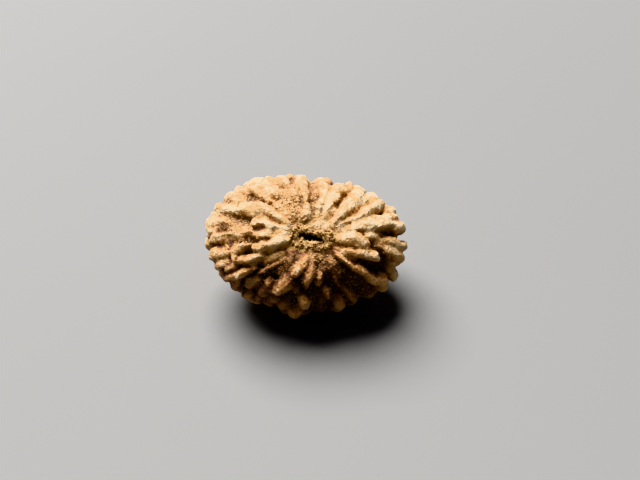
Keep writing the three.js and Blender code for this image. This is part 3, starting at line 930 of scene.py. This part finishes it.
def weathered(points, normals, settings):
    """The skin's own relief: soft lumps, streaks, small pits and grains in the low ground."""
    azimuth, polar, depth = globe_places(points)
    rough = zone_strength(GRITTY_ZONES, azimuth, polar)
    grit = rough * smooth_step((depth + GRIT_RISE) / GRIT_BLEND)
    mouth = np.exp(-((polar / MOUTH_GRIT_WIDTH) ** 2))
    mouth += np.exp(-(((180 - polar) / MOUTH_GRIT_WIDTH) ** 2))
    across = BREADTH / 2 * np.stack([np.cos(np.radians(azimuth)), np.sin(np.radians(azimuth))], 1)
    down = np.radians(polar) * BREADTH / 2
    fade = np.sin(np.radians(polar)) ** STREAK_FADE
    relief = np.zeros(len(points))
    streak_across, streak_down = STREAK_SCALE
    for index, point in enumerate(points):
        spot = Vector(point)
        lump = sum(share * noise.noise(spot * scale) for scale, share in LUMPS)
        streak = noise.noise(Vector((*across[index] * streak_across, down[index] * streak_down)))
        near = noise.voronoi(spot * GRAIN_SCALE)[0]
        grain = near[1] - near[0] - GRAIN_LEVEL
        pits, places = noise.voronoi(spot * PIT_SCALE)
        left_out = PITS_LEFT_OUT - ROUGH_GROUND_PITS * rough[index]
        pit = max(0.0, 1 - pits[0] / PIT_WIDTH) ** PIT_STEEPNESS
        pit *= noise.cell(places[0] * PIT_DRAW) > left_out
        coarser = 1 + ROUGH_GROUND_LUMPS * rough[index]
        grainy = grit[index] + MOUTH_GRIT * mouth[index] + EVEN_GRIT
        relief[index] = (
            settings.lump_height * lump * coarser
            + settings.streak_height * streak * fade[index]
            + settings.grit_height * grainy * grain
            - settings.pit_depth * pit * coarser
        )
    return points + normals * (relief / MM)[:, None]


def paint_attributes(stone, shell_depth, azimuth, polar):
    """What the finish follows: height and shut-in creases for painted shade, rubbed edges, grit,
    stains, the painted shade and husk of the lower front, and the mouth.
    """
    points, normals = vertex_array(stone), normal_array(stone)
    ends = edge_array(stone)
    tree = surface_tree(stone)
    # The shut-in measure is ambient occlusion, which the finish paints into the creases as shade.
    shut = blurred(closed_in(points, normals, tree, CREASE_REACH, CREASE_RAYS), ends, 1)
    soft = blurred(points, ends, EDGE_BLUR_ROUNDS)
    edge = np.sum((points - soft) * normals, axis=1) / EDGE_RISE
    set_attribute(stone, "height", np.clip(1 - shell_depth / LOWEST_GROUND, 0, GREATEST_HEIGHT))
    set_attribute(stone, "shut", np.clip(shut, 0, 1))
    set_attribute(stone, "edge", np.clip(0.5 + 0.5 * edge, 0, 1))
    set_attribute(stone, "grit", zone_strength(GRITTY_ZONES, azimuth, polar))
    # Painted shade and husk on the lower front.
    set_attribute(stone, "shade_and_husk", zone_strength(SHADE_AND_HUSK_ZONES, azimuth, polar))
    set_attribute(stone, "stain", zone_strength(STAINED_ZONES, azimuth, polar))
    from_pole = np.minimum(polar, 180 - polar)
    set_attribute(stone, "mouth", smooth_step((MOUTH_TISSUE_END - from_pole) / MOUTH_TISSUE_BLEND))


class SEED_OT_stone(bpy.types.Operator):
    """Build the stone: core, ridges and channel in one, with its own relief and finish"""

    bl_idname = "seed.stone"
    bl_label = "Build stone"

    def execute(self, context):
        settings = context.scene.stone_settings
        deselect_all()
        bpy.ops.mesh.primitive_uv_sphere_add(segments=168, ring_count=72, radius=1)
        core = context.view_layer.objects.active
        set_vertices(core, core_points(vertex_array(core)))
        master = master_finger()
        bead = vertex_array(master)
        draw = random.Random(SEED_NUMBER)
        ridges = OPEN_POLE_RIDGES + LOW_RIDGES + far_ridges()
        pieces = [core]
        for ridge in ridges:
            tilt = [draw.uniform(0, 2 * math.pi) for _ in range(3)] + [draw.uniform(-1, 1)]
            pieces.append(own_copy(master, finger_points(bead, ridge, tilt)))
        bpy.data.objects.remove(master)
        stone = join(pieces, "stone")
        apply_modifier(stone, "REMESH", mode="VOXEL", voxel_size=settings.voxel_size / MM)
        keep_outer_skin(stone)
        apply_modifier(stone, "SMOOTH", factor=0.5, iterations=6)
        cutter = channel_cutter()
        apply_modifier(stone, "BOOLEAN", operation="DIFFERENCE", solver="MANIFOLD", object=cutter)
        bpy.data.objects.remove(cutter)
        points = vertex_array(stone)
        points = warped(press_hollows(points, *globe_places(points)))
        set_vertices(stone, points)
        apply_modifier(stone, "SMOOTH", factor=0.5, iterations=1)
        points = vertex_array(stone)
        set_vertices(stone, weathered(points, normal_array(stone), settings))
        stone.data.calc_loop_triangles()
        triangles = len(stone.data.loop_triangles)
        if triangles > settings.triangles:
            apply_modifier(stone, "DECIMATE", ratio=settings.triangles / triangles)
        set_vertices(stone, lying(vertex_array(stone)))
        select_only(stone)
        bpy.ops.object.mode_set(mode="EDIT")
        bpy.ops.mesh.select_all(action="SELECT")
        bpy.ops.mesh.bisect(
            plane_co=(0, 0, 0), plane_no=(0, 0, 1), use_fill=True, clear_inner=True,
            threshold=0.000001,
        )
        bpy.ops.mesh.select_all(action="SELECT")
        bpy.ops.mesh.quads_convert_to_tris()
        bpy.ops.object.mode_set(mode="OBJECT")
        bpy.ops.object.shade_smooth_by_angle(angle=math.radians(50))
        azimuth, polar, depth = globe_places(upright(vertex_array(stone)))
        paint_attributes(stone, depth, azimuth, polar)
        stone.data.materials.clear()
        stone.data.materials.append(seed_wood(settings))
        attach(stone, "root")
        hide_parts("seed")
        return {"FINISHED"}


# Fibres and crumbs.


class SEED_OT_fibres(bpy.types.Operator):
    """Lay dry, torn fibres round the mouth of the channel"""

    bl_idname = "seed.fibres"
    bl_label = "Lay fibres"

    def execute(self, context):
        settings = context.scene.fibre_settings
        tree = surface_tree(bpy.data.objects["stone"])
        deselect_all()
        bpy.ops.mesh.primitive_cone_add(vertices=5, radius1=1, radius2=FIBRE_TIP, depth=1)
        master = context.view_layer.objects.active
        bpy.ops.object.mode_set(mode="EDIT")
        for joint in FIBRE_JOINTS:
            bpy.ops.mesh.select_all(action="SELECT")
            bpy.ops.mesh.bisect(plane_co=(0, 0, joint), plane_no=(0, 0, 1))
        bpy.ops.object.mode_set(mode="OBJECT")
        strand = vertex_array(master)
        draw = random.Random(SEED_NUMBER + 1)
        pieces = []
        while len(pieces) < settings.count:
            azimuth = draw.uniform(0, 360)
            stretch = 1 + FIBRE_RING_STRETCH * abs(math.cos(math.radians(azimuth - MOUTH_SKEW)))
            polar = draw.uniform(*FIBRE_RING) * stretch
            above = lying(place_on(azimuth, polar, -1.0)[None])[0]
            inwards = lying(place_on(azimuth, polar, 1.0)[None])[0] - above
            inwards = Vector(inwards).normalized()
            hit, normal, _, _ = tree.ray_cast(Vector(above), inwards, FIBRE_SEARCH)
            if hit is None:
                continue
            centre = Vector(lying(place_on(0.0, 0.0, FIBRE_AIM_DEPTH)[None])[0])
            onward = (centre - hit).normalized()
            sideways = onward.cross(normal).normalized()
            onward = onward * draw.uniform(*FIBRE_ONWARD) + sideways * draw.uniform(*FIBRE_ASIDE)
            onward = (onward + normal * draw.uniform(*FIBRE_LIFT)).normalized()
            sideways = onward.cross(normal).normalized()
            upward = sideways.cross(onward)
            length = settings.length * draw.uniform(*FIBRE_LENGTHS)
            half = settings.thickness / 2 * draw.uniform(*FIBRE_WIDTHS)
            curl = draw.uniform(*FIBRE_CURLS)
            arch = draw.uniform(*FIBRE_ARCHES)
            share = strand[:, 2] + 0.5
            points = (
                np.outer(share * length, onward)
                + np.outer(strand[:, 0] * half + curl * length * share**2, sideways)
                + np.outer(
                    strand[:, 1] * half * FIBRE_FLATNESS + arch * length * share * (1 - share), upward
                )
            )
            root = hit + normal * half - onward * length * FIBRE_HOLD
            pieces.append(own_copy(master, points + np.array(root)))
        bpy.data.objects.remove(master)
        fibres = join(pieces, "mouth_fibres")
        select_only(fibres)
        bpy.ops.object.transform_apply(location=True, rotation=True, scale=True)
        bpy.ops.object.shade_smooth()
        fibres.data.materials.clear()
        look = dry_scraps("Dry fibre", settings, (1.6, 9.0, 2.2), (0.55, 0.8), 0.4)
        fibres.data.materials.append(look)
        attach(fibres, "root")
        return {"FINISHED"}


class SEED_OT_crumbs(bpy.types.Operator):
    """Scatter crumbs of dried husk in the grooves and the rough ground"""

    bl_idname = "seed.crumbs"
    bl_label = "Scatter crumbs"

    def execute(self, context):
        settings = context.scene.crumb_settings
        stone = bpy.data.objects["stone"]
        points, normals = vertex_array(stone), normal_array(stone)

        def values(name):
            data = np.empty(len(points), np.float32)
            stone.data.attributes[name].data.foreach_get("value", data)
            return data.astype(float)

        near_mouth = values("mouth")
        liking = CRUMBS_EVERYWHERE + CRUMBS_IN_GRIT * values("grit") + CRUMBS_AT_MOUTH * near_mouth
        weights = values("shut") ** 2 * liking + CRUMBS_ON_GRIT * values("grit") ** 2
        weights[points[:, 2] < CRUMB_CLEAR_HEIGHT] = 0
        chooser = np.random.default_rng(SEED_NUMBER + 2)
        chosen = chooser.choice(len(points), settings.count, replace=False, p=weights / weights.sum())
        deselect_all()
        bpy.ops.mesh.primitive_ico_sphere_add(subdivisions=1, radius=1)
        master = context.view_layer.objects.active
        crumb = vertex_array(master)
        pieces = []
        for spot in chosen:
            half = settings.size / 2 * chooser.uniform(*CRUMB_SIZES)
            half *= 1 + CRUMB_GROWTH_AT_MOUTH * near_mouth[spot]
            shape = crumb * (1 + chooser.uniform(*CRUMB_DENTS, len(crumb)))[:, None]
            breadth, height = chooser.uniform(*CRUMB_BREADTHS), chooser.uniform(*CRUMB_HEIGHTS)
            shape = shape * np.array([1.0, breadth, height]) * half
            turn = Euler(chooser.uniform(0, math.pi, 3)).to_matrix()
            lifted = points[spot] + normals[spot] * half * CRUMB_SINK
            pieces.append(own_copy(master, shape @ np.array(turn).T + lifted))
        bpy.data.objects.remove(master)
        crumbs = join(pieces, "husk_crumbs")
        select_only(crumbs)
        bpy.ops.object.shade_smooth()
        crumbs.data.materials.clear()
        look = dry_scraps("Crumbled husk", settings, (2.4, 12.0, 3.0), (0.6, 0.85), 0.5)
        crumbs.data.materials.append(look)
        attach(crumbs, "root")
        return {"FINISHED"}


# Finishes.


def plug_in(tree, node, parts):
    """Feeds a node's inputs, each from a socket or with a plain value."""
    for place, value in parts:
        if isinstance(value, bpy.types.NodeSocket):
            tree.links.new(value, node.inputs[place])
        else:
            node.inputs[place].default_value = value


def add_node(tree, kind, values=None, **settings):
    node = tree.nodes.new(kind)
    for name, value in settings.items():
        setattr(node, name, value)
    plug_in(tree, node, (values or {}).items())
    return node


def new_group(name, inputs, outputs):
    group = bpy.data.node_groups.new(name, "ShaderNodeTree")
    for socket, kind in inputs:
        group.interface.new_socket(name=socket, in_out="INPUT", socket_type=kind)
    for socket, kind in outputs:
        group.interface.new_socket(name=socket, in_out="OUTPUT", socket_type=kind)
    return group, group.nodes.new("NodeGroupInput"), group.nodes.new("NodeGroupOutput")


def mix_colours(tree, factor, first, second, blend="MIX"):
    node = add_node(tree, "ShaderNodeMix", data_type="RGBA", blend_type=blend)
    plug_in(tree, node, ((0, factor), (6, first), (7, second)))
    return node.outputs[2]


def compute(tree, operation, *parts):
    """A maths node; each part is a socket or a plain value."""
    node = add_node(tree, "ShaderNodeMath", operation=operation)
    plug_in(tree, node, enumerate(parts))
    return node.outputs[0]


def read_attribute(tree, name):
    return add_node(tree, "ShaderNodeAttribute", attribute_name=name).outputs["Fac"]


def in_range(tree, value, low, high, to_low=0.0, to_high=1.0):
    """Eases from one value to another while a mask runs through a range."""
    ends = {"Value": value, "From Min": low, "From Max": high, "To Min": to_low, "To Max": to_high}
    node = add_node(tree, "ShaderNodeMapRange", interpolation_type="SMOOTHSTEP")
    plug_in(tree, node, ends.items())
    return node.outputs["Result"]


def millimetres(tree):
    """Object coordinates in millimetres."""
    place = tree.nodes.new("ShaderNodeTexCoord")
    values = {"Vector": place.outputs["Object"], "Scale": (1 / MM, 1 / MM, 1 / MM)}
    return add_node(tree, "ShaderNodeMapping", values).outputs["Vector"]


def mottle_group():
    """Soft uneven colour: puts out a mask of blotches and a mask of fine specks."""
    name = "Mottle"
    if name in bpy.data.node_groups:
        return bpy.data.node_groups[name]
    group, start, end = new_group(
        name,
        [
            ("Vector", "NodeSocketVector"),
            ("Blotch scale", "NodeSocketFloat"),
            ("Speck scale", "NodeSocketFloat"),
        ],
        [("Blotches", "NodeSocketFloat"), ("Specks", "NodeSocketFloat")],
    )
    masks = [
        ("Blotches", "Blotch scale", {"Detail": 4.0, "Roughness": 0.6}, 0.3, 0.7),
        ("Specks", "Speck scale", {"Detail": 3.0, "Roughness": 0.65}, 0.35, 0.65),
    ]
    for mask, scale, values, low, high in masks:
        values.update({"Vector": start.outputs["Vector"], "Scale": start.outputs[scale]})
        cloud = add_node(group, "ShaderNodeTexNoise", values)
        group.links.new(in_range(group, cloud.outputs["Fac"], low, high), end.inputs[mask])
    return group


def grain_group():
    """Fine woody relief: fibres and open pores, as a height."""
    name = "Woody grain"
    if name in bpy.data.node_groups:
        return bpy.data.node_groups[name]
    group, start, end = new_group(
        name,
        [("Vector", "NodeSocketVector"), ("Scale", "NodeSocketFloat")],
        [("Height", "NodeSocketFloat")],
    )
    scaled = add_node(group, "ShaderNodeVectorMath", operation="SCALE")
    group.links.new(start.outputs["Vector"], scaled.inputs[0])
    group.links.new(start.outputs["Scale"], scaled.inputs["Scale"])
    vector = scaled.outputs[0]
    fibres = add_node(
        group, "ShaderNodeTexNoise", {"Vector": vector, "Scale": 5.0, "Detail": 5.0, "Roughness": 0.62}
    )
    pores = add_node(group, "ShaderNodeTexVoronoi", {"Vector": vector, "Scale": 4.5, "Randomness": 1.0})
    open_pores = in_range(group, pores.outputs["Distance"], 0.08, 0.3)
    height = compute(group, "MULTIPLY_ADD", open_pores, PORE_DEPTH, fibres.outputs["Fac"])
    group.links.new(height, end.inputs["Height"])
    return group


def new_material(name, mottle_values, grain_scale):
    """A material with the shared mottle and grain in it, on the piece's own millimetres."""
    material = bpy.data.materials.new(name)
    material.use_nodes = True
    tree = material.node_tree
    vector = millimetres(tree)
    mottle = add_node(tree, "ShaderNodeGroup", node_tree=mottle_group())
    plug_in(tree, mottle, {"Vector": vector, **mottle_values}.items())
    grain = add_node(tree, "ShaderNodeGroup", node_tree=grain_group())
    plug_in(tree, grain, {"Vector": vector, "Scale": grain_scale}.items())
    return material, vector, mottle.outputs, grain.outputs["Height"]


def add_bump(tree, shader, height, strength, distance):
    bump = add_node(
        tree, "ShaderNodeBump", {"Strength": strength, "Distance": distance, "Height": height}
    )
    tree.links.new(bump.outputs["Normal"], shader.inputs["Normal"])


def wear_and_painted_shade(tree, felt, mottle):
    """How pale the wood is painted: rubbed edges, blotches and specks by wear, open high ground as
    painted light, and shut-in creases, low ground and the lower front darker as painted shade and husk.
    """
    # Painted shade: ground that is shut in, and low ground, comes out darker.
    high = compute(tree, "MULTIPLY", compute(tree, "SUBTRACT", 1.0, felt["shut"]), felt["height"])
    rubbed_and_lit = compute(tree, "MULTIPLY_ADD", felt["edge"], EDGE_WEAR, high)
    blotches = in_range(tree, mottle["Blotches"], *BLOTCH_RANGE)
    rubbed_and_lit = compute(tree, "MULTIPLY_ADD", blotches, BLOTCH_WEAR, rubbed_and_lit)
    rubbed_and_lit = compute(tree, "MULTIPLY_ADD", mottle["Specks"], SPECK_WEAR, rubbed_and_lit)
    # Painted shade and husk: the lower front is held darker.
    shade_and_husk = compute(tree, "MULTIPLY", felt["shade_and_husk"], SHADE_AND_HUSK_HOLD)
    return compute(tree, "SUBTRACT", compute(tree, "ADD", rubbed_and_lit, EVEN_WEAR), shade_and_husk)


def add_grit_and_stains(tree, settings, vector, felt, wear_and_shade, colour):
    """Grains of mixed tone in the low rough ground, and the stain of the fruit's skin."""
    cells = add_node(tree, "ShaderNodeTexVoronoi", {"Vector": vector, "Scale": 3.4, "Randomness": 1.0})
    grains = mix_colours(tree, cells.outputs["Color"], settings.furrow_colour, settings.grit_colour)
    gritty = compute(tree, "MULTIPLY", felt["grit"], in_range(tree, wear_and_shade, 1.4, 0.9))
    colour = mix_colours(tree, compute(tree, "MULTIPLY", gritty, GRIT_COVER), colour, grains)
    stained = compute(tree, "MULTIPLY", felt["stain"], in_range(tree, wear_and_shade, 0.95, 0.45))
    return mix_colours(tree, compute(tree, "MULTIPLY", stained, STAIN_COVER), colour, settings.stain_colour)


def add_painted_shade_and_husk(tree, settings, felt, colour):
    """Painted shade and dried husk in the deep ground of the lower front, and a darker, redder cast
    of painted shade over it.
    """
    dull = compute(tree, "MULTIPLY", felt["shade_and_husk"], in_range(tree, felt["height"], 1.05, 0.72))
    low = in_range(tree, felt["height"], 0.82, 0.45)
    murk = mix_colours(tree, low, settings.furrow_colour, settings.crease_colour)
    colour = mix_colours(tree, compute(tree, "MULTIPLY", dull, HUSK_AND_SHADE_COVER), colour, murk)
    cast = compute(tree, "MULTIPLY", felt["shade_and_husk"], PAINTED_SHADE_CAST)
    return mix_colours(tree, cast, colour, settings.painted_shade_tint, "MULTIPLY")


def seed_wood(settings):
    """Satin wood: pale on the rubbed crests, golden below them, dark in the creases, its colour
    following wear and painted shade.
    """
    material, vector, mottle, grain = new_material(
        "Seed wood", {"Blotch scale": 0.55, "Speck scale": 3.2}, 0.66
    )
    tree = material.node_tree
    shader = tree.nodes["Principled BSDF"]
    felt = {name: read_attribute(tree, name) for name in SKIN_ATTRIBUTES}
    # Wear and painted shade together pick the colour, from the crease colour up to the crest colour.
    wear_and_shade = wear_and_painted_shade(tree, felt, mottle)
    colour = settings.crease_colour
    for low, high, name in WOOD_STEPS:
        colour = mix_colours(tree, in_range(tree, wear_and_shade, low, high), colour, getattr(settings, name))
    colour = add_grit_and_stains(tree, settings, vector, felt, wear_and_shade, colour)
    colour = add_painted_shade_and_husk(tree, settings, felt, colour)
    flecks = add_node(
        tree, "ShaderNodeTexNoise", {"Vector": vector, "Scale": 3.3, "Detail": 3.0, "Roughness": 0.75}
    )
    fleck_shade = mix_colours(
        tree, in_range(tree, flecks.outputs["Fac"], 0.38, 0.60), FLECK_COLOUR, (1.0, 1.0, 1.0, 1.0)
    )
    fleck_share = compute(tree, "MULTIPLY_ADD", felt["grit"], FLECKS_IN_GRIT, FLECKS_EVERYWHERE)
    colour = mix_colours(tree, fleck_share, colour, fleck_shade, "MULTIPLY")
    tissue = compute(tree, "MULTIPLY", felt["mouth"], TISSUE_COVER)
    colour = mix_colours(tree, tissue, colour, settings.mouth_colour)
    tree.links.new(colour, shader.inputs["Base Color"])

    rough = in_range(tree, grain, 0.3, 0.9, 0.34, 0.52)
    rough = compute(tree, "MULTIPLY_ADD", felt["shut"], CREASE_ROUGHNESS, rough)
    tree.links.new(rough, shader.inputs["Roughness"])
    skin = compute(tree, "MULTIPLY_ADD", mottle["Specks"], SPECK_RELIEF, grain)
    skin = compute(tree, "ADD", skin, flecks.outputs["Fac"])
    add_bump(tree, shader, skin, 1.0, 0.0002)
    shader.inputs["Specular IOR Level"].default_value = 0.42
    return material


def dry_scraps(name, settings, scales, roughness, relief):
    """Dry plant matter in mixed tones, from pale to dark."""
    blotch_scale, speck_scale, grain_scale = scales
    material, _, mottle, grain = new_material(
        name, {"Blotch scale": blotch_scale, "Speck scale": speck_scale}, grain_scale
    )
    tree = material.node_tree
    shader = tree.nodes["Principled BSDF"]
    colour = mix_colours(tree, mottle["Blotches"], settings.dark_colour, settings.pale_colour)
    tree.links.new(colour, shader.inputs["Base Color"])
    tree.links.new(in_range(tree, mottle["Specks"], 0.0, 1.0, *roughness), shader.inputs["Roughness"])
    add_bump(tree, shader, grain, relief, 0.00003)
    return material


def floor_paint(settings):
    """Plain matt floor."""
    material = bpy.data.materials.new("Plain floor")
    material.use_nodes = True
    tree = material.node_tree
    shader = tree.nodes["Principled BSDF"]
    place = tree.nodes.new("ShaderNodeTexCoord")
    faint = add_node(
        tree, "ShaderNodeTexNoise", {"Vector": place.outputs["Object"], "Scale": 9.0, "Detail": 2.0}
    )
    paler = [min(1.0, part * 1.03) for part in settings.floor_colour[:3]] + [1.0]
    colour = mix_colours(tree, faint.outputs["Fac"], settings.floor_colour, paler)
    tree.links.new(colour, shader.inputs["Base Color"])
    shader.inputs["Roughness"].default_value = 0.8
    return material


# The stage.


class SEED_OT_stage(bpy.types.Operator):
    """Set the floor, the soft lamps and the camera at the photograph's angle"""

    bl_idname = "seed.stage"
    bl_label = "Set stage"

    def execute(self, context):
        settings = context.scene.stage_settings
        deselect_all()
        bpy.ops.mesh.primitive_plane_add(size=4, location=(0, 0, 0))
        floor = context.view_layer.objects.active
        floor.name = "floor"
        floor.data.materials.append(floor_paint(settings))
        self.add_key_lamp(settings)
        self.add_fill_lamp(settings)
        self.add_room(context, settings)
        self.add_camera(context)
        return {"FINISHED"}

    def add_room(self, context, settings):
        world = bpy.data.worlds.new("Soft room")
        context.scene.world = world
        world.use_nodes = True
        context.scene.view_settings.view_transform = "Khronos PBR Neutral"
        context.scene.view_settings.look = "Medium High Contrast"
        sky = world.node_tree.nodes["Background"]
        sky.inputs["Color"].default_value = ROOM_COLOUR
        sky.inputs["Strength"].default_value = settings.room_light
        wall = add_node(world.node_tree, "ShaderNodeBackground", {"Color": WALL_COLOUR, "Strength": 1.0})
        seen = world.node_tree.nodes.new("ShaderNodeLightPath")
        choice = world.node_tree.nodes.new("ShaderNodeMixShader")
        world.node_tree.links.new(seen.outputs["Is Camera Ray"], choice.inputs["Fac"])
        world.node_tree.links.new(sky.outputs["Background"], choice.inputs[1])
        world.node_tree.links.new(wall.outputs["Background"], choice.inputs[2])
        end = world.node_tree.nodes["World Output"]
        world.node_tree.links.new(choice.outputs["Shader"], end.inputs["Surface"])

    def add_key_lamp(self, settings):
        bpy.ops.object.light_add(type="SUN", location=KEY_PLACE)
        lamp = bpy.context.view_layer.objects.active
        lamp.name = "key_lamp"
        lamp.data.angle = math.radians(KEY_WIDTH)
        lamp.data.energy = settings.lamp_power
        lamp.data.color = KEY_COLOUR
        lamp.rotation_euler = Vector(KEY_PLACE).to_track_quat("Z", "Y").to_euler()

    def add_fill_lamp(self, settings):
        bpy.ops.object.light_add(type="AREA", location=FILL_PLACE)
        lamp = bpy.context.view_layer.objects.active
        lamp.name = "fill_lamp"
        lamp.data.shape = "DISK"
        lamp.data.size = FILL_WIDTH
        lamp.data.energy = settings.fill_power
        lamp.data.color = FILL_COLOUR
        aim = Vector(lying(np.zeros((1, 3)))[0]) - Vector(FILL_PLACE)
        lamp.rotation_euler = aim.to_track_quat("-Z", "Y").to_euler()

    def add_camera(self, context):
        height = math.radians(CAMERA_HEIGHT)
        back = Vector((0, -math.cos(height), math.sin(height)))
        right = Vector((1, 0, 0))
        up = back.cross(right)
        target = Vector(lying(np.zeros((1, 3)))[0])
        place = target + (back * CAMERA_DISTANCE + right * CAMERA_ASIDE + up * CAMERA_UP) * MM
        bpy.ops.object.camera_add(location=place)
        camera = context.view_layer.objects.active
        camera.name = "camera"
        camera.rotation_euler = (-back).to_track_quat("-Z", "Y").to_euler()
        camera.data.sensor_width = 36
        camera.data.lens = CAMERA_LENS
        camera.data.clip_start = 0.001
        camera.data.clip_end = 20
        context.scene.camera = camera


class SEED_PT_panel(bpy.types.Panel):
    """Lists the seed's pieces and their settings"""

    bl_label = "Rudraksha seed"
    bl_idname = "SEED_PT_panel"
    bl_space_type = "VIEW_3D"
    bl_region_type = "UI"
    bl_category = "Seed"

    def draw(self, context):
        for operator, settings in STEPS:
            box = self.layout.box()
            box.operator(operator)
            group = getattr(context.scene, settings)
            for name in group.__annotations__:
                box.prop(group, name)


STEPS = [
    ("seed.stone", "stone_settings"),
    ("seed.fibres", "fibre_settings"),
    ("seed.crumbs", "crumb_settings"),
    ("seed.stage", "stage_settings"),
]
SETTINGS = {
    "stone_settings": StoneSettings,
    "fibre_settings": FibreSettings,
    "crumb_settings": CrumbSettings,
    "stage_settings": StageSettings,
}
CLASSES = [
    StoneSettings, FibreSettings, CrumbSettings, StageSettings,
    SEED_OT_stone, SEED_OT_fibres, SEED_OT_crumbs, SEED_OT_stage, SEED_PT_panel,
]


def register():
    for each in CLASSES:
        bpy.utils.register_class(each)
    for name, group in SETTINGS.items():
        setattr(bpy.types.Scene, name, bpy.props.PointerProperty(type=group))


def unregister():
    for name in SETTINGS:
        delattr(bpy.types.Scene, name)
    for each in reversed(CLASSES):
        bpy.utils.unregister_class(each)


def main():
    register()
    bpy.ops.seed.stone()
    bpy.ops.seed.fibres()
    bpy.ops.seed.crumbs()
    bpy.ops.seed.stage()


if __name__ == "__main__":
    main()
